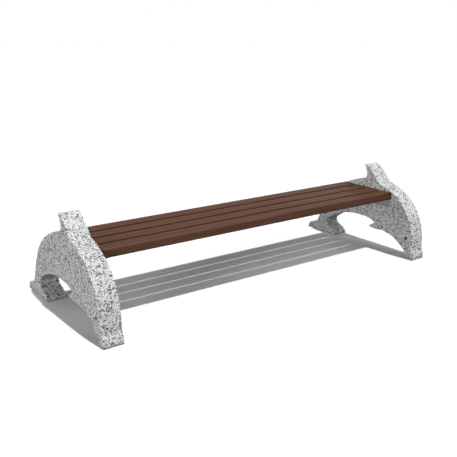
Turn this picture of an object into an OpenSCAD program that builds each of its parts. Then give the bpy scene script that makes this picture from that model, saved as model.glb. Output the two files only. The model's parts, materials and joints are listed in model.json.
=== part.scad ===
// Backless street bench: two cast concrete sides in the outline of a leaping dolphin
// carry four timber planks on bolted steel angles.
// X runs along the bench, -Y is the front, Z is up from the floor, and the origin is
// on the floor under the middle of the bench.

/* [Bench] */
// Length over both concrete sides
bench_length = 2480; // [1600:10:3000]
// Floor to the top of the planks
seat_height = 450; // [420:5:500]
// How far the middle of the seat lies in front of the middle of the sides
seat_forward = 87; // [60:1:110]

/* [Planks] */
// Width of a plank
plank_width = 94; // [80:1:100]
// Thickness of a plank
plank_thickness = 50; // [36:1:60]
// Open gap between planks
plank_gap = 25; // [8:1:32]
// Radius on the long edges of a plank
plank_edge = 2.5; // [1:0.5:6]
// Room between a plank's end and the concrete
plank_end_gap = 2; // [1:0.5:4]

/* [Concrete sides] */
// Thickness of a side
side_thickness = 120; // [100:5:150]
// Toe to tail tip
side_depth = 1082; // [1040:2:1160]
// Back of the dolphin above the seat, behind the fin
back_rise = 61; // [50:1:75]
// Fin tip above the seat
fin_rise = 165; // [140:5:200]
// Floor to the crown of the arch
arch_height = 224; // [200:2:240]
// Length of the toe on the floor
toe_length = 26; // [20:1:40]
// Length of the tail on the floor
tail_length = 308; // [280:2:330]
// Diameter of the eye recess
eye_diameter = 18; // [12:1:24]
// Depth of the eye recess
eye_depth = 6; // [3:1:10]

/* [Steel angles] */
// Upright leg, against the concrete
angle_upright = 60; // [52:1:70]
// Level leg, under the planks
angle_level = 40; // [35:1:50]
// Thickness of both legs
angle_thickness = 5; // [4:0.5:6]
// Radius in the root of the angle
angle_root = 6; // [4:0.5:8]
// How far the angle stops short of the seat's front and rear edges
angle_inset = 8; // [5:1:20]

/* [Anchor bolts] */
// Bolts through the upright leg of each angle
anchor_count = 3; // [2:1:3]
// Distance between bolts
anchor_pitch = 100; // [90:5:130]
// Bolt axis below the top of the angle
anchor_gauge = 35; // [32:1:38]
// Thread diameter
anchor_diameter = 10; // [8:1:12]
// Length under the head
anchor_length = 35; // [30:1:40]
// Head across flats
anchor_head_flats = 17; // [15:1:19]
// Head height
anchor_head_height = 6.4; // [5:0.1:8]
// Washer outer diameter
anchor_washer_diameter = 20; // [18:0.5:24]
// Washer thickness
anchor_washer_thickness = 2; // [1.5:0.1:3]

/* [Cast-in sockets] */
// Wall of the socket round the thread
socket_wall = 3; // [2:0.5:5]
// Length of the socket in the concrete
socket_length = 50; // [44:1:60]
// Diameter of the cross pin that keys the socket
socket_pin_diameter = 8; // [6:1:10]
// Length of the cross pin
socket_pin_length = 60; // [40:2:80]

/* [Coach screws] */
// Screws side by side in each plank end
screw_row = 2; // [1:1:2]
// Distance between the two screws of a plank
screw_pitch = 44; // [34:1:50]
// Screw axis from the concrete face
screw_gauge = 22; // [20:1:25]
// Shank diameter
screw_diameter = 8; // [6:1:9]
// Length under the head
screw_length = 38; // [30:1:40]
// Length of the pointed end
screw_point = 8; // [5:1:10]
// Head across flats
screw_head_flats = 13; // [11:1:14]
// Head height
screw_head_height = 5.5; // [4:0.1:7]
// Washer outer diameter
screw_washer_diameter = 16; // [14:0.5:17]
// Washer thickness
screw_washer_thickness = 1.6; // [1:0.1:2.5]

/* [Reinforcement] */
// Diameter of the bent main bars
bar_diameter = 10; // [8:1:12]
// Diameter of the closed links
link_diameter = 6; // [5:0.5:8]
// Concrete over the links at both faces
link_cover = 23; // [20:1:30]
// Outer bars below the back of the dolphin
crown_cover = 55; // [45:1:70]
// Crown of the outer bars in front of the middle of the seat
crown_forward = 24; // [15:1:35]
// Outer bars past their crown, beside one another
bar_lap = 40; // [30:1:45]
// Front foot of the outer bars behind the toe tip
front_foot_inset = 52; // [46:1:58]
// Front foot of the outer bars above the floor
front_foot_height = 55; // [45:1:70]
// Rear foot of the outer bars in front of the tail tip
rear_foot_inset = 157; // [150:1:165]
// Rear foot of the outer bars above the floor
rear_foot_height = 110; // [100:1:125]
// Inner bars above the crown of the arch
arch_cover = 46; // [40:1:56]
// Front foot of the inner bars behind the toe tip
inner_foot_inset = 100; // [90:1:110]
// Rear foot of the inner bars behind the rear of the arch
inner_rear_inset = 33; // [25:1:45]
// Feet of the inner bars below the crown of the arch
inner_foot_drop = 100; // [90:1:110]

/* [Clearances] */
// Bolt and screw holes in the steel, on the diameter
hole_clearance = 1; // [0.5:0.1:2]
// Thread in its socket or its timber, on the diameter
thread_clearance = 0.2; // [0.1:0.1:0.4]
// Between a link and the bars that it holds
link_clearance = 0.2; // [0.1:0.1:0.4]

/* [Hidden] */

// Steps to a full turn, and to one of the wide arcs of the bars
round_steps = 48;
arc_steps = 720;
$fn = round_steps;
curve_steps = 14;
corner_steps = 5;
// Cutting tools run this far past the faces that they cut
over = 1;
plank_count = 4;

inner_face = bench_length / 2 - side_thickness;
plank_length = 2 * (inner_face - plank_end_gap);
plank_pitch = plank_width + plank_gap;
seat_width = plank_count * plank_pitch - plank_gap;
seat_y = -seat_forward;
angle_top = seat_height - plank_thickness;
angle_length = seat_width - 2 * angle_inset;
anchor_z = angle_top - anchor_gauge;

front = -side_depth / 2;
rear = side_depth / 2;

// Corners of the outline, each as [y, z]
toe_sole = [front + 3, 0];
toe_tip = [front, 20];
brow = [front + 18, 80];
fin_root = [seat_y - 106, seat_height + back_rise - 16];
fin_edge = [seat_y + 33, seat_height + fin_rise];
fin_tip = [seat_y + 40, seat_height + fin_rise - 8];
fin_heel = [seat_y + 38, seat_height + back_rise];
tail_stock = [rear - 109, 92];
fluke_root = [rear - 70, 60];
fluke_tip = [rear, 16];
fluke_sole = [rear - 6, 0];
tail_toe = [fluke_sole[0] - tail_length, 0];
tail_bow = [tail_toe[0] + 99, 84];
arch_rear = [tail_toe[0] + 99, 112];
arch_crown = [front + 530, arch_height];
arch_front = [front + 382, arch_height - 23];
flipper_root = [front + 384, arch_height - 38];
flipper_tip = [front + 429, arch_height - 65];
flipper_base = [front + 299, arch_height - 69];
toe_heel = [toe_sole[0] + toe_length, 0];
eye = [front + 71, 150];

// Point of a cubic curve at t; both handles are given from their own ends
function cubic(a, handle_a, handle_b, b, t) =
    pow(1 - t, 3) * a + 3 * pow(1 - t, 2) * t * (a + handle_a)
    + 3 * (1 - t) * t * t * (b + handle_b) + t * t * t * b;

// Curve from a up to, but not with, b
function curve(a, handle_a, handle_b, b) =
    [for (i = [0 : curve_steps - 1]) cubic(a, handle_a, handle_b, b, i / curve_steps)];

// Points of an arc about a centre
function arc(centre, radius, start, sweep) =
    [for (i = [0 : corner_steps])
        let (angle = start + sweep * i / corner_steps)
            centre + radius * [cos(angle), sin(angle)]];

side_outline = concat(
    curve(toe_sole, [-3, 6], [0, -8], toe_tip),
    curve(toe_tip, [0, 20], [-3, -28], brow),
    curve(brow, [0, 308], [-124, -31], fin_root),
    curve(fin_root, [42, 48], [-59, -22], fin_edge),
    curve(fin_edge, [5, 0], [3, 6], fin_tip),
    curve(fin_tip, [-14, -34], [-39, 17], fin_heel),
    curve(fin_heel, [409, -95], [-53, 99], tail_stock),
    curve(tail_stock, [5, -20], [-18, 4], fluke_root),
    curve(fluke_root, [40, -9], [0, 22], fluke_tip),
    curve(fluke_tip, [0, -8], [3, 4], fluke_sole),
    [fluke_sole],
    curve(tail_toe, [6, 60], [-18, -41], tail_bow),
    curve(tail_bow, [9, 16], [7, -6], arch_rear),
    curve(arch_rear, [-92, 76], [120, 0], arch_crown),
    curve(arch_crown, [-66, 0], [36, 18], arch_front),
    curve(arch_front, [-9, -4], [-9, 5], flipper_root),
    curve(flipper_root, [14, -7], [-9, 10], flipper_tip),
    curve(flipper_tip, [-36, -12], [50, -11], flipper_base),
    curve(flipper_base, [-114, -19], [112, 120], toe_heel),
    [toe_heel]
);

// Turns a drawing in [y, z], raised along its third axis, into the plane of a side
module side_plane() {
    rotate([90, 0, 90]) children();
}

// Places a right-hand piece, drawn from the concrete's inner face outwards, at either end
module at_end(is_left) {
    mirror([is_left ? 1 : 0, 0, 0]) translate([inner_face, 0, 0]) children();
}

// Level cylinder that runs along X from its start
module rod_x(diameter, length) {
    rotate([0, 90, 0]) cylinder(d = diameter, h = length);
}

module hex_x(flats, length) {
    rotate([0, 90, 0]) cylinder(d = flats / cos(30), h = length, $fn = 6);
}

// Places children at each anchor on the concrete's inner face
module at_anchors() {
    for (i = [0 : anchor_count - 1])
        translate([0, seat_y + (i - (anchor_count - 1) / 2) * anchor_pitch, anchor_z]) children();
}

// Middle of plank i, from the front
function plank_y(i) = seat_y + (i - (plank_count - 1) / 2) * plank_pitch;

// Places children at the screws of plank i, on the top of the angle
module at_plank_screws(i) {
    for (j = [0 : screw_row - 1])
        translate([-screw_gauge, plank_y(i) + (j - (screw_row - 1) / 2) * screw_pitch, angle_top])
            children();
}

module at_screws() {
    for (i = [0 : plank_count - 1]) at_plank_screws(i) children();
}

// The front and inner bars lie in the corners of the links, this far from the middle of a side
bar_offset = side_thickness / 2 - link_cover - link_diameter - bar_diameter / 2;
bar_layers = [side_thickness / 2 - bar_offset, side_thickness / 2 + bar_offset];
// The rear bars lie beside the front bars, nearer the middle
rear_offset = bar_offset - bar_diameter - link_clearance;
rear_layers = [side_thickness / 2 - rear_offset, side_thickness / 2 + rear_offset];
// Middle of a bar to the middle of the link round it
bar_reach = bar_diameter / 2 + link_diameter / 2 + link_clearance;

// Each bar is one arc: its foot, and its crown, where it is level
outer_crown = [seat_y - crown_forward, seat_height + back_rise - crown_cover];
front_foot = [front + front_foot_inset, front_foot_height];
rear_foot = [rear - rear_foot_inset, rear_foot_height];
inner_foot = [front + inner_foot_inset, arch_height - inner_foot_drop];
inner_rear = arch_rear[0] + inner_rear_inset;
inner_crown = [(inner_foot[0] + inner_rear) / 2, arch_height + arch_cover];

// Radius of an arc that is level at its crown and passes through its foot
function arc_radius(crown, foot) =
    (pow(crown[0] - foot[0], 2) + pow(crown[1] - foot[1], 2)) / (2 * (crown[1] - foot[1]));

// Height at y of an arc that is moved outwards by shift
function arc_height(crown, foot, shift, y) =
    let (radius = arc_radius(crown, foot))
        crown[1] - radius + sqrt(pow(radius + shift, 2) - pow(y - crown[0], 2));

// Bar from its foot over its crown and on by lap, drawn in the plane of the side
module bent_bar(crown, foot, lap) {
    radius = arc_radius(crown, foot);
    foot_sweep = 90 - asin((foot[1] - crown[1] + radius) / radius);
    lap_sweep = asin(lap / radius);
    start = foot[0] < crown[0] ? 90 - lap_sweep : 90 - foot_sweep;
    translate([crown[0], crown[1] - radius, 0]) rotate([0, 0, start])
        rotate_extrude(angle = foot_sweep + lap_sweep, $fn = arc_steps)
            translate([radius, 0]) circle(d = bar_diameter, $fn = round_steps);
}

module main_bars() {
    side_plane() {
        for (x = bar_layers) translate([0, 0, x]) {
            bent_bar(outer_crown, front_foot, bar_lap);
            bent_bar(inner_crown, inner_foot, inner_crown[0] - inner_foot[0]);
        }
        for (x = rear_layers) translate([0, 0, x]) bent_bar(outer_crown, rear_foot, bar_lap);
    }
}

// Links are bent to whole steps of this size
bend_step = 0.1;
function floor_to(value, step) = floor(value / step) * step;
function ceil_to(value, step) = ceil(value / step) * step;

// Top of a link at y: where the front and rear bars lap, it clears the higher of them
function link_top(y) =
    abs(y - outer_crown[0]) < bar_lap + link_diameter
    ? max([for (foot = [front_foot, rear_foot]) arc_height(outer_crown, foot, bar_reach, y)])
    : arc_height(outer_crown, y < outer_crown[0] ? front_foot : rear_foot, bar_reach, y);

// Closed link round the bars at y, with bends of the bars' own radius
module link(y) {
    low = floor_to(arc_height(inner_crown, inner_foot, -bar_reach, y), bend_step);
    high = ceil_to(link_top(y), bend_step);
    half_width = bar_offset;
    half_height = (high - low) / 2 - bar_reach;
    translate([side_thickness / 2, y, (low + high) / 2]) {
        for (side = [-1, 1]) {
            translate([-half_width, 0, side * (half_height + bar_reach)])
                rod_x(link_diameter, 2 * half_width);
            translate([side * (half_width + bar_reach), 0, -half_height])
                cylinder(d = link_diameter, h = 2 * half_height);
        }
        for (corner = [[1, 1, 0], [-1, 1, 90], [-1, -1, 180], [1, -1, 270]])
            translate([corner[0] * half_width, 0, corner[1] * half_height])
                rotate([90, 0, 0]) rotate([0, 0, corner[2]])
                    rotate_extrude(angle = 90) translate([bar_reach, 0]) circle(d = link_diameter);
    }
}

// Links stand between the anchors and one step beyond them
module links() {
    for (i = [0 : anchor_count])
        link(seat_y + (i - anchor_count / 2) * anchor_pitch);
}

socket_bore = anchor_diameter + thread_clearance;
socket_diameter = socket_bore + 2 * socket_wall;

module socket_body() {
    rod_x(socket_diameter, socket_length);
    translate([socket_length - socket_diameter / 2, -socket_pin_length / 2, 0])
        rotate([-90, 0, 0]) cylinder(d = socket_pin_diameter, h = socket_pin_length);
}

module sockets() {
    at_anchors() difference() {
        socket_body();
        translate([-over, 0, 0]) rod_x(socket_bore, over + socket_length - socket_diameter);
    }
}

module side() {
    difference() {
        side_plane() linear_extrude(side_thickness) polygon(side_outline);
        for (x = [-over, side_thickness - eye_depth])
            translate([x, eye[0], eye[1]]) rod_x(eye_diameter, eye_depth + over);
        at_anchors() socket_body();
        main_bars();
        links();
    }
}

plank_outline = concat(
    arc([plank_width / 2 - plank_edge, plank_thickness - plank_edge], plank_edge, 0, 90),
    arc([-plank_width / 2 + plank_edge, plank_thickness - plank_edge], plank_edge, 90, 90),
    arc([-plank_width / 2 + plank_edge, plank_edge], plank_edge, 180, 90),
    arc([plank_width / 2 - plank_edge, plank_edge], plank_edge, 270, 90)
);

// Depth of a screw in its plank
screw_grip = screw_length - screw_washer_thickness - angle_thickness;
screw_tip = screw_diameter / 4;

module plank(i) {
    difference() {
        translate([-plank_length / 2, plank_y(i), angle_top])
            side_plane() linear_extrude(plank_length) polygon(plank_outline);
        for (is_left = [false, true])
            at_end(is_left) at_plank_screws(i)
                translate([0, 0, -over])
                    cylinder(d = screw_diameter + thread_clearance, h = screw_grip + 2 * over);
    }
}

angle_outline = concat(
    [[0, 0], [0, -angle_upright], [-angle_thickness, -angle_upright]],
    arc([-angle_thickness - angle_root, -angle_thickness - angle_root], angle_root, 0, 90),
    [[-angle_level, -angle_thickness], [-angle_level, 0]]
);

module steel_angle() {
    difference() {
        translate([0, seat_y + angle_length / 2, angle_top])
            rotate([90, 0, 0]) linear_extrude(angle_length) polygon(angle_outline);
        at_anchors() translate([-angle_thickness - over, 0, 0])
            rod_x(anchor_diameter + hole_clearance, angle_thickness + 2 * over);
        at_screws() translate([0, 0, -angle_thickness - over])
            cylinder(d = screw_diameter + hole_clearance, h = angle_thickness + 2 * over);
    }
}

module anchor_washers() {
    at_anchors() translate([-angle_thickness - anchor_washer_thickness, 0, 0]) difference() {
        rod_x(anchor_washer_diameter, anchor_washer_thickness);
        translate([-over, 0, 0])
            rod_x(anchor_diameter + hole_clearance, anchor_washer_thickness + 2 * over);
    }
}

module anchor_bolts() {
    at_anchors() translate([-angle_thickness - anchor_washer_thickness, 0, 0]) {
        rod_x(anchor_diameter, anchor_length);
        translate([-anchor_head_height, 0, 0]) hex_x(anchor_head_flats, anchor_head_height);
    }
}

module screw_washers() {
    at_screws() translate([0, 0, -angle_thickness - screw_washer_thickness]) difference() {
        cylinder(d = screw_washer_diameter, h = screw_washer_thickness);
        translate([0, 0, -over])
            cylinder(d = screw_diameter + hole_clearance, h = screw_washer_thickness + 2 * over);
    }
}

module coach_screws() {
    at_screws() translate([0, 0, -angle_thickness - screw_washer_thickness]) {
        cylinder(d = screw_diameter, h = screw_length - screw_point);
        translate([0, 0, screw_length - screw_point])
            cylinder(d1 = screw_diameter, d2 = screw_tip, h = screw_point);
        translate([0, 0, -screw_head_height])
            cylinder(d = screw_head_flats / cos(30), h = screw_head_height, $fn = 6);
    }
}

module left_side() { color([0.72, 0.72, 0.72]) at_end(true) side(); }
module right_side() { color([0.72, 0.72, 0.72]) at_end(false) side(); }
module front_plank() { color([0.38, 0.25, 0.21]) plank(0); }
module front_middle_plank() { color([0.38, 0.25, 0.21]) plank(1); }
module rear_middle_plank() { color([0.38, 0.25, 0.21]) plank(2); }
module rear_plank() { color([0.38, 0.25, 0.21]) plank(3); }
module left_angle() { color([0.45, 0.43, 0.41]) at_end(true) steel_angle(); }
module right_angle() { color([0.45, 0.43, 0.41]) at_end(false) steel_angle(); }
module left_sockets() { color([0.6, 0.6, 0.62]) at_end(true) sockets(); }
module right_sockets() { color([0.6, 0.6, 0.62]) at_end(false) sockets(); }
module left_anchor_bolts() { color([0.65, 0.65, 0.67]) at_end(true) anchor_bolts(); }
module right_anchor_bolts() { color([0.65, 0.65, 0.67]) at_end(false) anchor_bolts(); }
module left_anchor_washers() { color([0.65, 0.65, 0.67]) at_end(true) anchor_washers(); }
module right_anchor_washers() { color([0.65, 0.65, 0.67]) at_end(false) anchor_washers(); }
module left_coach_screws() { color([0.65, 0.65, 0.67]) at_end(true) coach_screws(); }
module right_coach_screws() { color([0.65, 0.65, 0.67]) at_end(false) coach_screws(); }
module left_screw_washers() { color([0.65, 0.65, 0.67]) at_end(true) screw_washers(); }
module right_screw_washers() { color([0.65, 0.65, 0.67]) at_end(false) screw_washers(); }
module left_main_bars() { color([0.35, 0.25, 0.2]) at_end(true) main_bars(); }
module right_main_bars() { color([0.35, 0.25, 0.2]) at_end(false) main_bars(); }
module left_links() { color([0.35, 0.25, 0.2]) at_end(true) links(); }
module right_links() { color([0.35, 0.25, 0.2]) at_end(false) links(); }

left_side();
right_side();
front_plank();
front_middle_plank();
rear_middle_plank();
rear_plank();
left_angle();
right_angle();
left_sockets();
right_sockets();
left_anchor_bolts();
right_anchor_bolts();
left_anchor_washers();
right_anchor_washers();
left_coach_screws();
right_coach_screws();
left_screw_washers();
right_screw_washers();
left_main_bars();
right_main_bars();
left_links();
right_links();
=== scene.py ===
import json
import math

import bpy
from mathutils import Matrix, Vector

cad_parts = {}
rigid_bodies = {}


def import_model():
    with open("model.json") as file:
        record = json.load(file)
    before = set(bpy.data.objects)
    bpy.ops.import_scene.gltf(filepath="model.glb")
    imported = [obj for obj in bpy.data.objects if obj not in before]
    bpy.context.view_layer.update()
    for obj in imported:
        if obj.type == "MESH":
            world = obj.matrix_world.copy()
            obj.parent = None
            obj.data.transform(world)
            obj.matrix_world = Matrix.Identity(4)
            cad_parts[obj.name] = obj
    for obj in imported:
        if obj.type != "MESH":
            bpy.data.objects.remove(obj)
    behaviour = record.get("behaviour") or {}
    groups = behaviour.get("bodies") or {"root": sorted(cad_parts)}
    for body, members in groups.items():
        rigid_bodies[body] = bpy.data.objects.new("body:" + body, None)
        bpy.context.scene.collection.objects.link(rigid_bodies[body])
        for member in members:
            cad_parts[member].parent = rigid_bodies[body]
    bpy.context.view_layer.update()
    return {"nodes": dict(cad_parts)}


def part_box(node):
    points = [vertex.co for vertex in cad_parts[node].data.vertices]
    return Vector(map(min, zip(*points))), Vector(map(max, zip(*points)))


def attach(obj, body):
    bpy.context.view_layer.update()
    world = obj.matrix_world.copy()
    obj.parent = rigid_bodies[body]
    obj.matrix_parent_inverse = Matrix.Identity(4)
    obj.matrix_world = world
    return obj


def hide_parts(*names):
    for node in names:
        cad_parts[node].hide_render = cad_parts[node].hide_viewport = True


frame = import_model()
scene = bpy.context.scene
endNames = ("left", "right")
touching = 0.00001   # metres within which points count as one
print("frame loaded:", len(frame["nodes"]), "nodes")


# small helpers

def makeActive(piece):
    bpy.ops.object.select_all(action="DESELECT")
    piece.select_set(True)
    bpy.context.view_layer.objects.active = piece


def applyModifiers(piece):
    makeActive(piece)
    for modifier in list(piece.modifiers):
        bpy.ops.object.modifier_apply(modifier=modifier.name)


def addModifier(piece, kind, **settings):
    modifier = piece.modifiers.new(kind.lower(), kind)
    for name, value in settings.items():
        setattr(modifier, name, value)


def copyNode(nodeName, pieceName):
    piece = bpy.data.objects.new(pieceName, frame["nodes"][nodeName].data.copy())
    scene.collection.objects.link(piece)
    makeActive(piece)
    bpy.ops.object.mode_set(mode="EDIT")
    bpy.ops.mesh.select_all(action="SELECT")
    bpy.ops.mesh.remove_doubles(threshold=touching)
    bpy.ops.object.mode_set(mode="OBJECT")
    return piece


def clearSelection(piece, mode):
    # leaves object mode on, with nothing of the mesh selected
    makeActive(piece)
    bpy.ops.object.mode_set(mode="EDIT")
    bpy.ops.mesh.select_mode(type=mode)
    bpy.ops.mesh.select_all(action="DESELECT")
    bpy.ops.object.mode_set(mode="OBJECT")


def bevelEdges(piece, isWanted, width, steps):
    clearSelection(piece, "EDGE")
    points = piece.data.vertices
    for edge in piece.data.edges:
        first, second = (points[i].co for i in edge.vertices)
        edge.select = isWanted(first, second)
    bpy.ops.object.mode_set(mode="EDIT")
    bpy.ops.mesh.bevel(offset=width, segments=steps, affect="EDGES")
    bpy.ops.object.mode_set(mode="OBJECT")


def bevelSharp(piece, width, steps, angle):
    # breaks every edge that turns by more than the angle
    addModifier(piece, "BEVEL", width=width, segments=steps, limit_method="ANGLE",
                angle_limit=math.radians(angle), use_clamp_overlap=False)
    applyModifiers(piece)


def boolean(piece, tool, operation):
    addModifier(piece, "BOOLEAN", object=tool, operation=operation, solver="EXACT")
    applyModifiers(piece)
    bpy.data.objects.remove(tool)


def finishPiece(piece, nodeName, material, smoothAngle=None):
    makeActive(piece)
    bpy.ops.object.transform_apply(location=True, rotation=True, scale=True)
    if smoothAngle is None:
        bpy.ops.object.shade_smooth()
    else:
        bpy.ops.object.shade_smooth_by_angle(angle=math.radians(smoothAngle))
    piece.data.materials.clear()
    piece.data.materials.append(material)
    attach(piece, "root")
    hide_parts(nodeName)


# shader and geometry nodes

def setSocket(tree, socket, value):
    # an output of another node is linked, and a constant is set on the socket itself
    if hasattr(value, "is_linked"):
        tree.links.new(value, socket)
    else:
        socket.default_value = value


def setInputs(tree, node, inputs):
    for name, value in inputs.items():
        setSocket(tree, node.inputs[name], value)


def addNode(tree, kind, inputs=None, **settings):
    node = tree.nodes.new(kind)
    for name, value in settings.items():
        setattr(node, name, value)
    setInputs(tree, node, inputs or {})
    return node


def calculate(tree, operation, a, b=0.0, clamp=False):
    node = addNode(tree, "ShaderNodeMath", {0: a, 1: b}, operation=operation, use_clamp=clamp)
    return node.outputs[0]


def multiply(tree, a, b):
    return calculate(tree, "MULTIPLY", a, b)


def splitVector(tree, vector):
    return addNode(tree, "ShaderNodeSeparateXYZ", {0: vector}).outputs


def smoothStep(tree, value, low, high, toLow=0.0, toHigh=1.0):
    node = addNode(tree, "ShaderNodeMapRange", {
        "Value": value, "From Min": low, "From Max": high, "To Min": toLow, "To Max": toHigh,
    }, interpolation_type="SMOOTHSTEP")
    return node.outputs["Result"]


def mixColour(tree, factor, a, b, blend="MIX"):
    node = addNode(tree, "ShaderNodeMix", data_type="RGBA", blend_type=blend)
    sockets = {socket.identifier: socket for socket in node.inputs}
    setSocket(tree, sockets["Factor_Float"], factor)
    for name, value in (("A_Color", a), ("B_Color", b)):
        setSocket(tree, sockets[name], value if hasattr(value, "is_linked") else (*value, 1))
    return next(socket for socket in node.outputs if socket.identifier == "Result_Color")


def colourRamp(tree, value, stops, interpolation):
    node = addNode(tree, "ShaderNodeValToRGB", {"Fac": value})
    ramp = node.color_ramp
    ramp.interpolation = interpolation
    while len(ramp.elements) < len(stops):
        ramp.elements.new(1.0)
    for element, (place, colour) in zip(ramp.elements, stops):
        element.position = place
        element.color = (*colour, 1)
    return node.outputs["Color"]


def newGroup(name, numbers, results):
    # a shared effect, which takes a vector and some numbers and gives numbers
    group = bpy.data.node_groups.new(name, "ShaderNodeTree")
    group.interface.new_socket(name="Vector", in_out="INPUT", socket_type="NodeSocketVector")
    for label in numbers:
        group.interface.new_socket(name=label, in_out="INPUT", socket_type="NodeSocketFloat")
    for label in results:
        group.interface.new_socket(name=label, in_out="OUTPUT", socket_type="NodeSocketFloat")
    return group, addNode(group, "NodeGroupInput").outputs, addNode(group, "NodeGroupOutput")


def newMaterial(name):
    material = bpy.data.materials.new(name)
    material.use_nodes = True
    tree = material.node_tree
    return material, tree, tree.nodes["Principled BSDF"]


def objectPlace(tree):
    return addNode(tree, "ShaderNodeTexCoord").outputs["Object"]


def bumpNormal(tree, height, strength, distance):
    bump = addNode(tree, "ShaderNodeBump", {
        "Height": height, "Strength": strength, "Distance": distance})
    return bump.outputs["Normal"]


# granite chips: the same cells drive the shader's colours and the mesh's relief

chips = {
    "cells": 118.0,          # cells a metre, so chips are near 8 mm
    "wobbleScale": 190.0,
    "wobbleDetail": 1.0,
    "wobbleMiddle": (0.5, 0.5, 0.5),
    "wobble": 0.0026,        # metres, over which the cells' sides wander
    "joint": (0.04, 0.15),   # in cells from a cell's side, from bare cement to bare chip
    "buriedShare": 0.05,     # chips left under the cement
    "relief": 0.0010,        # chips stand this proud of the cement
}


def chipCells(tree, place):
    # where chips lie bare, and two random values for each chip
    wobble = addNode(tree, "ShaderNodeTexNoise", {
        "Vector": place, "Scale": chips["wobbleScale"], "Detail": chips["wobbleDetail"]})
    centred = addNode(tree, "ShaderNodeVectorMath", {
        0: wobble.outputs["Color"], 1: chips["wobbleMiddle"]}, operation="SUBTRACT")
    scaled = addNode(tree, "ShaderNodeVectorMath", {
        0: centred.outputs[0], "Scale": chips["wobble"]}, operation="SCALE")
    moved = addNode(tree, "ShaderNodeVectorMath", {
        0: place, 1: scaled.outputs[0]}, operation="ADD")
    inputs = {"Vector": moved.outputs[0], "Scale": chips["cells"]}
    cell = addNode(tree, "ShaderNodeTexVoronoi", inputs, feature="F1")
    edge = addNode(tree, "ShaderNodeTexVoronoi", inputs, feature="DISTANCE_TO_EDGE")
    random = splitVector(tree, cell.outputs["Color"])
    bare = smoothStep(tree, edge.outputs["Distance"], *chips["joint"])
    shown = calculate(tree, "GREATER_THAN", random["Y"], chips["buriedShare"])
    return multiply(tree, bare, shown), random["X"], random["Z"]


def chipRelief():
    # sinks the cement between the chips
    group = bpy.data.node_groups.new("chipRelief", "GeometryNodeTree")
    for direction in ("INPUT", "OUTPUT"):
        group.interface.new_socket(name="Geometry", in_out=direction, socket_type="NodeSocketGeometry")
    start = addNode(group, "NodeGroupInput")
    chip = chipCells(group, addNode(group, "GeometryNodeInputPosition").outputs[0])[0]
    rise = multiply(group, calculate(group, "SUBTRACT", chip, 1.0), chips["relief"])
    normal = addNode(group, "GeometryNodeInputNormal").outputs[0]
    offset = addNode(group, "ShaderNodeVectorMath", {0: normal, "Scale": rise}, operation="SCALE")
    move = addNode(group, "GeometryNodeSetPosition", {
        "Geometry": start.outputs[0], "Offset": offset.outputs[0]})
    addNode(group, "NodeGroupOutput", {0: move.outputs[0]})
    return group


# effects that several materials share

speckles = {"detail": 4.0, "roughness": 0.65, "range": (0.3, 0.7)}
contactShading = {"patchScale": 35.0, "patchDetail": 3.0, "leastReach": 0.5}


def speckleGroup():
    group, given, result = newGroup("fineSpeckle", ("Scale", "Low", "High"), ("Tone", "Height"))
    noise = addNode(group, "ShaderNodeTexNoise", {
        "Vector": given["Vector"], "Scale": given["Scale"],
        "Detail": speckles["detail"], "Roughness": speckles["roughness"]}).outputs["Fac"]
    tone = smoothStep(group, noise, *speckles["range"], given["Low"], given["High"])
    setInputs(group, result, {"Tone": tone, "Height": noise})
    return group


def contactShadeGroup():
    # painted contact shade low down, with a ragged upper edge
    group, given, result = newGroup("baseContactShade", ("Reach",), ("Mask",))
    height = splitVector(group, given["Vector"])["Z"]
    patch = addNode(group, "ShaderNodeTexNoise", {
        "Vector": given["Vector"], "Scale": contactShading["patchScale"],
        "Detail": contactShading["patchDetail"]}).outputs["Fac"]
    ragged = multiply(group, given["Reach"], calculate(group, "ADD", patch, contactShading["leastReach"]))
    share = calculate(group, "DIVIDE", height, ragged)
    setInputs(group, result, {"Mask": calculate(group, "SUBTRACT", 1.0, share, clamp=True)})
    return group


fineSpeckle = speckleGroup()
baseContactShade = contactShadeGroup()


def speckled(tree, place, scale, low=0.0, high=1.0):
    inputs = {"Vector": place, "Scale": scale, "Low": low, "High": high}
    return addNode(tree, "ShaderNodeGroup", inputs, node_tree=fineSpeckle).outputs


def contactShaded(tree, place, reach):
    inputs = {"Vector": place, "Reach": reach}
    return addNode(tree, "ShaderNodeGroup", inputs, node_tree=baseContactShade).outputs["Mask"]


# concrete

concrete = {
    "chipTones": [
        (0.00, (0.93, 0.937, 0.95)), (0.52, (0.84, 0.848, 0.865)), (0.74, (0.61, 0.62, 0.64)),
        (0.84, (0.26, 0.27, 0.285)), (0.90, (0.045, 0.047, 0.053)),
    ],
    "speckle": (620.0, 0.84, 1.1),     # scale, darkest and lightest
    "cement": (0.56, 0.565, 0.575),
    "sand": (330.0, 0.55, 1.5),        # scale, darkest and lightest
    "hollowShade": (0.022, 0.023, 0.025),   # painted shade in the hollows where the washing went deep between chips
    "hollowShadeScale": 210.0,
    "hollowShadeRange": (0.45, 0.55),
    # painted contact shade along the bottom, where the sides meet the floor
    "grime": (0.040, 0.040, 0.038),
    "contactShadeReach": 0.010,
    "contactShadeShare": 0.8,
    "eye": (-0.470, 0.150),            # y and z of the eye's middle
    # painted shade and dirt in and around the eye's recess
    "eyeShadeAndDirt": (0.018, 0.019, 0.020),
    "eyeShadeAndDirtShare": 0.95,
    "eyeShadeAndDirtRadius": 0.0118,
    "eyeShadeAndDirtFade": 0.001,
    "chipRoughness": (0.62, 0.82),
    "cementRoughness": 0.92,
    "sandHeight": 0.35,
    "bumpStrength": 0.8,
    "bumpDistance": 0.0018,
}


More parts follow.
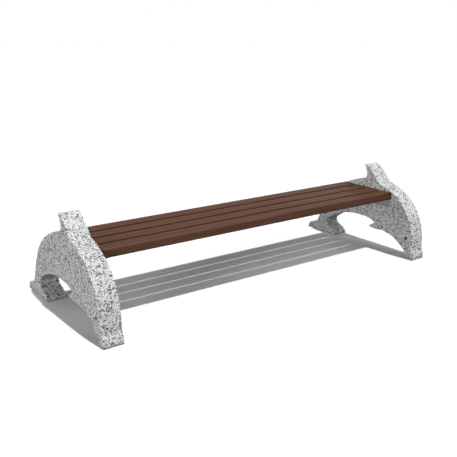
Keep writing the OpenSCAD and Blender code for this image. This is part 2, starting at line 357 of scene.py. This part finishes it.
def eyeMask(tree, place):
    split = splitVector(tree, place)
    away = [calculate(tree, "SUBTRACT", split[name], middle)
            for name, middle in zip(("Y", "Z"), concrete["eye"])]
    squares = [multiply(tree, distance, distance) for distance in away]
    reach = calculate(tree, "SQRT", calculate(tree, "ADD", *squares))
    radius = concrete["eyeShadeAndDirtRadius"]
    return smoothStep(tree, reach, radius - concrete["eyeShadeAndDirtFade"], radius, concrete["eyeShadeAndDirtShare"], 0.0)


def concreteMaterial():
    material, tree, shader = newMaterial("exposedAggregate")
    place = objectPlace(tree)
    chip, tint, polish = chipCells(tree, place)
    speckle = speckled(tree, place, *concrete["speckle"])["Tone"]
    stone = colourRamp(tree, tint, concrete["chipTones"], "CONSTANT")
    stone = mixColour(tree, 1.0, stone, speckle, "MULTIPLY")
    sand = speckled(tree, place, *concrete["sand"])
    # painted shade: the cement goes near black where the hollows run deep
    depth = speckled(tree, place, concrete["hollowShadeScale"])["Height"]
    hollowShadeMask = smoothStep(tree, depth, *concrete["hollowShadeRange"])
    cement = mixColour(tree, hollowShadeMask, concrete["cement"], concrete["hollowShade"])
    cement = mixColour(tree, 1.0, cement, sand["Tone"], "MULTIPLY")
    colour = mixColour(tree, chip, cement, stone)
    # painted contact shade darkens the bottom few millimetres
    baseShade = multiply(tree, contactShaded(tree, place, concrete["contactShadeReach"]), concrete["contactShadeShare"])
    colour = mixColour(tree, baseShade, colour, concrete["grime"])
    # painted shade and dirt darken the eye
    colour = mixColour(tree, eyeMask(tree, place), colour, concrete["eyeShadeAndDirt"])
    chipRough = smoothStep(tree, polish, 0.0, 1.0, *concrete["chipRoughness"])
    height = calculate(tree, "ADD", chip, multiply(tree, sand["Height"], concrete["sandHeight"]))
    setInputs(tree, shader, {
        "Base Color": colour,
        "Roughness": smoothStep(tree, chip, 0.0, 1.0, concrete["cementRoughness"], chipRough),
        "Normal": bumpNormal(tree, height, concrete["bumpStrength"], concrete["bumpDistance"]),
    })
    return material


# timber

timber = {
    "dark": (0.088, 0.038, 0.024),
    "light": (0.127, 0.057, 0.036),
    "toneRange": (0.32, 0.66),
    "grainStretch": (1.6, 46.0, 46.0),
    "grainNoise": {"Scale": 1.0, "Detail": 5.0, "Roughness": 0.6, "Distortion": 0.6},
    "grainHeight": 0.5,
    "pore": (0.056, 0.024, 0.015),
    "poreShare": 0.55,
    "poreRange": (0.56, 0.72),
    "poreStretch": (14.0, 520.0, 520.0),
    "poreNoise": {"Scale": 1.0, "Detail": 2.0, "Roughness": 0.55},
    "poreDepth": 0.6,
    "worn": (0.185, 0.096, 0.063),      # stain rubbed thin along the upper edges, and a painted highlight there
    "rubbedAndLitSlope": (0.15, 0.42),
    "rubbedAndLitGrain": (0.35, 0.6),
    "shadeAndSoak": (0.022, 0.010, 0.007),    # painted shade at the plank ends against the concrete, and end grain where the stain sinks in; also painted shade on the lower edges
    "endSoak": 0.014,
    "gapShade": (0.066, 0.029, 0.019),   # painted shade on the faces between the planks
    "gapShadeShare": 0.7,
    "gapShadeStart": (0.01, 0.02),           # metres behind the front of the seat
    "uprightSlope": (0.7, 0.95),
    "lowerEdgeShade": 0.007,                  # lower edges, which face down, darkened with painted shade
    "lowerEdgeShadeShare": 0.6,
    "roughness": (0.60, 0.74),
    "roughRange": (0.3, 0.7),
    "bumpStrength": 0.35,
    "bumpDistance": 0.0006,
    "varnish": 0.11,
    "varnishRoughness": 0.16,
}


def stretchedNoise(tree, place, stretch, inputs):
    vector = addNode(tree, "ShaderNodeMapping", {"Vector": place, "Scale": stretch}).outputs["Vector"]
    return addNode(tree, "ShaderNodeTexNoise", {"Vector": vector, **inputs}).outputs["Fac"]


def timberWearAndShade(tree, place, grain, colour):
    # rubbed upper edges with a painted highlight, painted shade with soaked end grain at the ends, painted
    # shade in the gaps and along the lower edges
    facing = splitVector(tree, addNode(tree, "ShaderNodeNewGeometry").outputs["Normal"])
    across = calculate(tree, "ABSOLUTE", facing["Y"])
    # painted highlight with rubbed stain on the upper edges, which face the light
    arris = smoothStep(tree, multiply(tree, across, facing["Z"]), *timber["rubbedAndLitSlope"])
    rubbedAndLit = multiply(tree, arris, smoothStep(tree, grain, *timber["rubbedAndLitGrain"]))
    colour = mixColour(tree, rubbedAndLit, colour, timber["worn"])

    # painted shade at the ends, where the planks meet the concrete, with soaked end grain
    low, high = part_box("front_plank")
    split = splitVector(tree, place)
    endShadeStart, endShadeFull = high.x - timber["endSoak"], high.x - timber["endSoak"] / 2
    shadeAndSoak = smoothStep(tree, calculate(tree, "ABSOLUTE", split["X"]), endShadeStart, endShadeFull)
    colour = mixColour(tree, shadeAndSoak, colour, timber["shadeAndSoak"])

    # painted shade on the upright faces inside the gaps between the planks
    inGap = smoothStep(tree, split["Y"], *(low.y + distance for distance in timber["gapShadeStart"]))
    upright = smoothStep(tree, across, *timber["uprightSlope"], 0.0, timber["gapShadeShare"])
    colour = mixColour(tree, multiply(tree, inGap, upright), colour, timber["gapShade"])

    # painted shade along the lower edges
    lowerShadeFull, lowerShadeEnd = low.z + timber["lowerEdgeShade"] / 2, low.z + timber["lowerEdgeShade"]
    lowerShade = smoothStep(tree, split["Z"], lowerShadeFull, lowerShadeEnd, timber["lowerEdgeShadeShare"], 0.0)
    return mixColour(tree, lowerShade, colour, timber["shadeAndSoak"])


def timberMaterial():
    material, tree, shader = newMaterial("stainedTimber")
    place = objectPlace(tree)
    grain = stretchedNoise(tree, place, timber["grainStretch"], timber["grainNoise"])
    pores = stretchedNoise(tree, place, timber["poreStretch"], timber["poreNoise"])
    pores = smoothStep(tree, pores, *timber["poreRange"])
    tones = list(zip(timber["toneRange"], (timber["dark"], timber["light"])))
    colour = colourRamp(tree, grain, tones, "LINEAR")
    colour = mixColour(tree, multiply(tree, pores, timber["poreShare"]), colour, timber["pore"])
    colour = timberWearAndShade(tree, place, grain, colour)
    raised, sunk = multiply(tree, grain, timber["grainHeight"]), multiply(tree, pores, timber["poreDepth"])
    height = calculate(tree, "SUBTRACT", raised, sunk)
    setInputs(tree, shader, {
        "Base Color": colour,
        "Roughness": smoothStep(tree, grain, *timber["roughRange"], *timber["roughness"]),
        "Normal": bumpNormal(tree, height, timber["bumpStrength"], timber["bumpDistance"]),
        "Specular IOR Level": 0.0,   # the varnish alone is glossy
        "Coat Weight": timber["varnish"],
        "Coat Roughness": timber["varnishRoughness"],
    })
    return material


# metal finishes

metals = {
    "anglePaint": {"colour": (0.31, 0.296, 0.285), "worn": (0.42, 0.41, 0.40), "metallic": 0.0,
                   "roughness": (0.42, 0.58), "scale": 260.0, "bump": 0.0003},
    "dullZinc": {"colour": (0.36, 0.365, 0.375), "worn": (0.50, 0.505, 0.515), "metallic": 1.0,
                 "roughness": (0.42, 0.60), "scale": 900.0, "bump": 0.0001},
    "turnedSteel": {"colour": (0.44, 0.44, 0.45), "worn": (0.56, 0.56, 0.57), "metallic": 1.0,
                    "roughness": (0.28, 0.46), "scale": 700.0, "bump": 0.0001},
    "millScale": {"colour": (0.17, 0.12, 0.10), "worn": (0.28, 0.14, 0.075), "metallic": 0.0,
                  "roughness": (0.6, 0.85), "scale": 180.0, "bump": 0.0004},
}
metalWear = {"patchSize": 14, "roughRange": (0.3, 0.7), "bumpStrength": 0.3}


def metalMaterial(name):
    values = metals[name]
    material, tree, shader = newMaterial(name)
    place = objectPlace(tree)
    speckle = speckled(tree, place, values["scale"])
    patches = speckled(tree, place, values["scale"] / metalWear["patchSize"])
    wear = multiply(tree, speckle["Tone"], patches["Tone"])
    setInputs(tree, shader, {
        "Base Color": mixColour(tree, wear, values["colour"], values["worn"]),
        "Roughness": smoothStep(tree, patches["Height"], *metalWear["roughRange"], *values["roughness"]),
        "Metallic": values["metallic"],
        "Normal": bumpNormal(tree, speckle["Height"], metalWear["bumpStrength"], values["bump"]),
    })
    return material


finishes = {name: metalMaterial(name) for name in metals}
finishes["concrete"] = concreteMaterial()
finishes["timber"] = timberMaterial()
print("materials made:", len(finishes))


# concrete sides: a merged copy, recast in a fine grid, its arrises washed round, chips proud of the cement

sideBuild = {
    "anchors": 3,
    "anchorReach": (0.035, 0.012),   # from a socket's axis, along Y and Z, to past its hollow
    "skin": 0.0005,                  # faces this near to the flat faces of a side are kept
    "grid": 0.0035,
    "washPasses": 3,
    "washFactor": 0.5,
    "eyeDepth": 0.006,
    "eyeWidth": 0.018,
    "eyeSegments": 40,
    "eyeRound": 0.0015,              # rounds the rim of the eye's floor
    "eyeRoundSteps": 4,
}
reliefGroup = chipRelief()


def anchorPlaces(end):
    # where the heads of the anchor bolts bear on their washers
    low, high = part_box(end + "_anchor_washers")
    radius = (high.z - low.z) / 2
    first, last = low.y + radius, high.y - radius
    inside = low.x if low.x > 0 else high.x
    steps = sideBuild["anchors"] - 1
    return [Vector((inside, first + (last - first) * i / steps, low.z + radius)) for i in range(steps + 1)]


def inSideCut(centre, low, high, anchors):
    # true for faces inside the sockets' hollows and the eyes
    if not low.x + sideBuild["skin"] < centre.x < high.x - sideBuild["skin"]:
        return False
    acrossReach, upReach = sideBuild["anchorReach"]
    for anchor in anchors:
        if abs(centre.y - anchor.y) < acrossReach and abs(centre.z - anchor.z) < upReach:
            return True
    eyeY, eyeZ = concrete["eye"]
    return math.hypot(centre.y - eyeY, centre.z - eyeZ) < sideBuild["eyeWidth"]


def eyeCutter(faceX, inward):
    depth = sideBuild["eyeDepth"]
    bpy.ops.object.select_all(action="DESELECT")
    bpy.ops.mesh.primitive_cylinder_add(
        vertices=sideBuild["eyeSegments"], radius=sideBuild["eyeWidth"] / 2, depth=2 * depth,
        location=(faceX, *concrete["eye"]), rotation=(0, math.pi / 2, 0))
    cutter = bpy.context.active_object
    bpy.ops.object.transform_apply(location=True, rotation=True, scale=True)
    bottom = faceX + inward * depth
    bevelEdges(cutter, lambda a, b: abs(a.x - bottom) < touching and abs(b.x - bottom) < touching,
               sideBuild["eyeRound"], sideBuild["eyeRoundSteps"])
    return cutter


def keepOuterSkin(piece):
    # hollows of the cast-in bars never show, so only what hangs together with the top point is kept
    top = max(piece.data.vertices, key=lambda point: point.co.z).index
    clearSelection(piece, "VERT")
    piece.data.vertices[top].select = True
    bpy.ops.object.mode_set(mode="EDIT")
    bpy.ops.mesh.select_linked()
    bpy.ops.mesh.select_all(action="INVERT")
    bpy.ops.mesh.delete(type="VERT")
    bpy.ops.object.mode_set(mode="OBJECT")


def closeCuts(piece, end, low, high):
    # the flat faces are closed over the sockets and the eyes, and the eyes are cut again later
    anchors = anchorPlaces(end)
    clearSelection(piece, "FACE")
    for face in piece.data.polygons:
        face.select = inSideCut(face.center, low, high, anchors)
    bpy.ops.object.mode_set(mode="EDIT")
    bpy.ops.mesh.delete(type="FACE")
    bpy.ops.mesh.select_mode(type="EDGE")
    bpy.ops.mesh.select_all(action="DESELECT")
    bpy.ops.mesh.select_non_manifold()
    bpy.ops.mesh.fill_holes(sides=0)
    bpy.ops.object.mode_set(mode="OBJECT")


def buildSide(end):
    nodeName = end + "_side"
    low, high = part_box(nodeName)
    piece = copyNode(nodeName, end + "ConcreteSide")
    keepOuterSkin(piece)
    closeCuts(piece, end, low, high)
    addModifier(piece, "REMESH", mode="VOXEL", voxel_size=sideBuild["grid"], adaptivity=0.0)
    addModifier(piece, "SMOOTH", factor=sideBuild["washFactor"], iterations=sideBuild["washPasses"])
    addModifier(piece, "NODES", node_group=reliefGroup)
    applyModifiers(piece)
    for faceX, inward in ((low.x, 1), (high.x, -1)):
        boolean(piece, eyeCutter(faceX, inward), "DIFFERENCE")
    finishPiece(piece, nodeName, finishes["concrete"])
    print(nodeName, "faces:", len(piece.data.polygons))


for end in endNames:
    buildSide(end)


# planks: eased long edges and lightly broken ends

plankBuild = {
    "names": ("front_plank", "front_middle_plank", "rear_middle_plank", "rear_plank"),
    "edge": 0.0025,
    "edgeSteps": 5,
    "endBreak": 0.0012,
    "endSteps": 3,
    "smoothAngle": 40,
}


def buildPlank(nodeName):
    low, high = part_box(nodeName)
    size = high - low
    bpy.ops.object.select_all(action="DESELECT")
    bpy.ops.mesh.primitive_cube_add(size=1, location=(low + high) / 2, scale=size)
    piece = bpy.context.active_object
    words = nodeName.split("_")
    piece.name = words[0] + "".join(word.capitalize() for word in words[1:])
    piece.data.name = piece.name
    bpy.ops.object.transform_apply(location=True, rotation=True, scale=True)
    bevelEdges(piece, lambda a, b: abs(a.x - b.x) > size.x / 2,
               plankBuild["edge"], plankBuild["edgeSteps"])
    bevelEdges(piece, lambda a, b: abs(a.x - b.x) < touching,
               plankBuild["endBreak"], plankBuild["endSteps"])
    finishPiece(piece, nodeName, finishes["timber"], plankBuild["smoothAngle"])


for nodeName in plankBuild["names"]:
    buildPlank(nodeName)
print("planks made")


# steel angles: the CAD shape with broken edges

angleBuild = {"flatWithin": 1, "edge": 0.0007, "edgeSteps": 2, "edgeAngle": 40, "smoothAngle": 35}


def buildAngle(end):
    piece = copyNode(end + "_angle", end + "SteelAngle")
    bpy.ops.object.mode_set(mode="EDIT")
    bpy.ops.mesh.select_all(action="SELECT")
    bpy.ops.mesh.dissolve_limited(angle_limit=math.radians(angleBuild["flatWithin"]))
    bpy.ops.object.mode_set(mode="OBJECT")
    bevelSharp(piece, angleBuild["edge"], angleBuild["edgeSteps"], angleBuild["edgeAngle"])
    finishPiece(piece, end + "_angle", finishes["anglePaint"], angleBuild["smoothAngle"])


for end in endNames:
    buildAngle(end)


# hexagon bolts and coach screws: one is modelled for each size, and copied

fasteners = {
    "anchor": {"flats": 0.017, "head": 0.0064, "shank": 0.010, "length": 0.035, "point": 0.0015,
               "tip": 0.0036, "washer": 0.020, "hole": 0.011, "washerThickness": 0.002},
    "coach": {"flats": 0.013, "head": 0.0055, "shank": 0.008, "length": 0.038, "point": 0.008,
              "tip": 0.001, "washer": 0.016, "hole": 0.009, "washerThickness": 0.0016},
}
fastenerBuild = {
    "crownShare": 0.475,   # radius of the flat top of a head, in widths across its flats
    "crownSlope": 60,
    "overlap": 0.001,
    "segments": 40,
    "fineSegments": 48,
    "headEdge": 0.00025,
    "headEdgeAngle": 25,
    "ringEdge": 0.0003,
    "ringEdgeAngle": 40,
    "edgeSteps": 2,
    "smoothAngle": 35,
}


def cylinder(radius, low, high, segments, topRadius=None):
    bpy.ops.object.select_all(action="DESELECT")
    bpy.ops.mesh.primitive_cone_add(
        vertices=segments, radius1=radius, radius2=radius if topRadius is None else topRadius,
        depth=high - low, location=(0, 0, (low + high) / 2))
    piece = bpy.context.active_object
    bpy.ops.object.transform_apply(location=True, rotation=True, scale=True)
    return piece


def hexFastener(sizes):
    # head below its own origin, shank up along Z
    overlap, segments = fastenerBuild["overlap"], fastenerBuild["segments"]
    corner = sizes["flats"] / 2 / math.cos(math.pi / 6)
    head = cylinder(corner, -sizes["head"], 0, 6)
    crown = fastenerBuild["crownShare"] * sizes["flats"]
    spread = math.tan(math.radians(fastenerBuild["crownSlope"])) * sizes["head"]
    chamfer = cylinder(crown, -sizes["head"], 0, fastenerBuild["fineSegments"], crown + spread)
    boolean(head, chamfer, "INTERSECT")
    shank, shankEnd = sizes["shank"] / 2, sizes["length"] - sizes["point"]
    boolean(head, cylinder(shank, -overlap, shankEnd, segments), "UNION")
    boolean(head, cylinder(shank, shankEnd - overlap / 2, sizes["length"], segments, sizes["tip"]), "UNION")
    bevelSharp(head, fastenerBuild["headEdge"], fastenerBuild["edgeSteps"], fastenerBuild["headEdgeAngle"])
    return head


def ringWasher(sizes):
    overlap, segments = fastenerBuild["overlap"], fastenerBuild["fineSegments"]
    thickness = sizes["washerThickness"]
    ring = cylinder(sizes["washer"] / 2, 0, thickness, segments)
    hole = cylinder(sizes["hole"] / 2, -overlap, thickness + overlap, segments)
    boolean(ring, hole, "DIFFERENCE")
    bevelSharp(ring, fastenerBuild["ringEdge"], fastenerBuild["edgeSteps"], fastenerBuild["ringEdgeAngle"])
    return ring


def placeCopies(model, places, turn, name):
    # copies of one model, joined in one piece
    copies = []
    for place in places:
        copy = bpy.data.objects.new(name, model.data.copy())
        scene.collection.objects.link(copy)
        copy.rotation_euler = turn
        copy.location = place
        makeActive(copy)
        bpy.ops.object.transform_apply(location=True, rotation=True, scale=True)
        copies.append(copy)
    piece = copies[0]
    makeActive(piece)
    for copy in copies[1:]:
        copy.select_set(True)
    bpy.ops.object.join()
    piece.data.name = name
    return piece


def screwPlaces(end):
    # under the washers of the coach screws, two to each plank
    low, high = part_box(end + "_screw_washers")
    middleX, radius = (low.x + high.x) / 2, (high.x - low.x) / 2
    middles = [(corners[0].y + corners[1].y) / 2 for corners in map(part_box, plankBuild["names"])]
    spread = middles[0] - (low.y + radius)
    return [Vector((middleX, middle + side * spread, low.z)) for middle in middles for side in (-1, 1)]


anchorModel, coachModel = hexFastener(fasteners["anchor"]), hexFastener(fasteners["coach"])
anchorRing, coachRing = ringWasher(fasteners["anchor"]), ringWasher(fasteners["coach"])

for end, side in zip(endNames, (-1, 1)):
    outwards, upwards = (0, side * math.pi / 2, 0), (0, 0, 0)
    for model, places, turn, label, node in (
            (anchorModel, anchorPlaces(end), outwards, "AnchorBolts", "_anchor_bolts"),
            (anchorRing, anchorPlaces(end), outwards, "AnchorWashers", "_anchor_washers"),
            (coachModel, screwPlaces(end), upwards, "CoachScrews", "_coach_screws"),
            (coachRing, screwPlaces(end), upwards, "ScrewWashers", "_screw_washers")):
        piece = placeCopies(model, places, turn, end + label)
        finishPiece(piece, end + node, finishes["dullZinc"], fastenerBuild["smoothAngle"])
for model in (anchorModel, coachModel, anchorRing, coachRing):
    bpy.data.objects.remove(model)
print("angles and fasteners made")


# sockets, bars and links stay as CAD nodes inside the concrete, and take their finishes

castInFinishes = {"_sockets": "turnedSteel", "_main_bars": "millScale", "_links": "millScale"}

for end in endNames:
    for name, finish in castInFinishes.items():
        node = frame["nodes"][end + name]
        node.data.materials.clear()
        node.data.materials.append(finishes[finish])


# floor, light and camera

stage = {
    "floorSize": 120.0,
    "floorSeen": 1.0,      # grey of the floor where it is seen
    "floorBounce": 0.04,   # and where it only passes light on to the bench
    "sky": 0.19,
    "white": (1, 1, 1, 1),
    "suns": {
        "key": {"from": (0.07, -0.44, 1.0), "strength": 2.68, "angle": 1.6},
        "right": {"from": (1.0, 0.05, 0.09), "strength": 0.8, "angle": 14.0},
        "back": {"from": (-0.5, 1.0, 0.17), "strength": 0.6, "angle": 14.0},
    },
    "sunDistance": 4,
    "softboxes": {         # their light fades along the bench
        "left": {"place": (-10.7, -4.9, 1.3), "size": 3.5, "power": 650.0},
        "front": {"place": (3.5, -4.5, 4.5), "size": 2.5, "power": 66.0},
    },
    "cameraPlace": (-2.49907, -3.40547, 1.55615),
    "cameraTurn": (73.446, 0.0, -35.409),
    "lens": 52.567,
    "sensorWidth": 36.0,
}


def seenRays(tree):
    # rays that show the stage itself, straight or in a gloss
    rays = addNode(tree, "ShaderNodeLightPath").outputs
    seen = calculate(tree, "MAXIMUM", rays["Is Camera Ray"], rays["Is Glossy Ray"])
    return calculate(tree, "MAXIMUM", seen, rays["Is Transmission Ray"])


def addLamp(kind, name, place, turnFrom):
    bpy.ops.object.light_add(type=kind, location=place)
    lamp = bpy.context.active_object
    lamp.name = name
    lamp.rotation_euler = Vector(turnFrom).to_track_quat("Z", "Y").to_euler()
    return lamp


bpy.ops.object.select_all(action="DESELECT")
bpy.ops.mesh.primitive_plane_add(size=stage["floorSize"])
floor = bpy.context.active_object
floor.name = "studioFloor"
floorPaint, tree, shader = newMaterial("floorPaint")
grey = mixColour(tree, seenRays(tree), [stage["floorBounce"]] * 3, [stage["floorSeen"]] * 3)
setInputs(tree, shader, {"Base Color": grey, "Roughness": 1.0, "Specular IOR Level": 0.0})
floor.data.materials.append(floorPaint)

world = bpy.data.worlds.new("studioSky")
scene.world = world
world.use_nodes = True
tree = world.node_tree
dim = tree.nodes["Background"]
setInputs(tree, dim, {"Color": stage["white"], "Strength": stage["sky"]})
bright = addNode(tree, "ShaderNodeBackground", {"Color": stage["white"], "Strength": 1.0})
mix = addNode(tree, "ShaderNodeMixShader", {0: seenRays(tree), 1: dim.outputs[0], 2: bright.outputs[0]})
setInputs(tree, tree.nodes["World Output"], {"Surface": mix.outputs[0]})

for name, values in stage["suns"].items():
    lamp = addLamp("SUN", name + "Lamp", Vector(values["from"]) * stage["sunDistance"], values["from"])
    lamp.data.energy = values["strength"]
    lamp.data.angle = math.radians(values["angle"])

for name, values in stage["softboxes"].items():
    lamp = addLamp("AREA", name + "Box", values["place"], values["place"])
    lamp.data.shape = "DISK"
    lamp.data.size = values["size"]
    lamp.data.energy = values["power"]
    lamp.visible_camera = False

bpy.ops.object.camera_add(location=stage["cameraPlace"],
                          rotation=[math.radians(angle) for angle in stage["cameraTurn"]])
camera = bpy.context.active_object
camera.data.lens = stage["lens"]
camera.data.sensor_width = stage["sensorWidth"]
scene.camera = camera
scene.view_settings.view_transform = "Standard"
print("stage set")
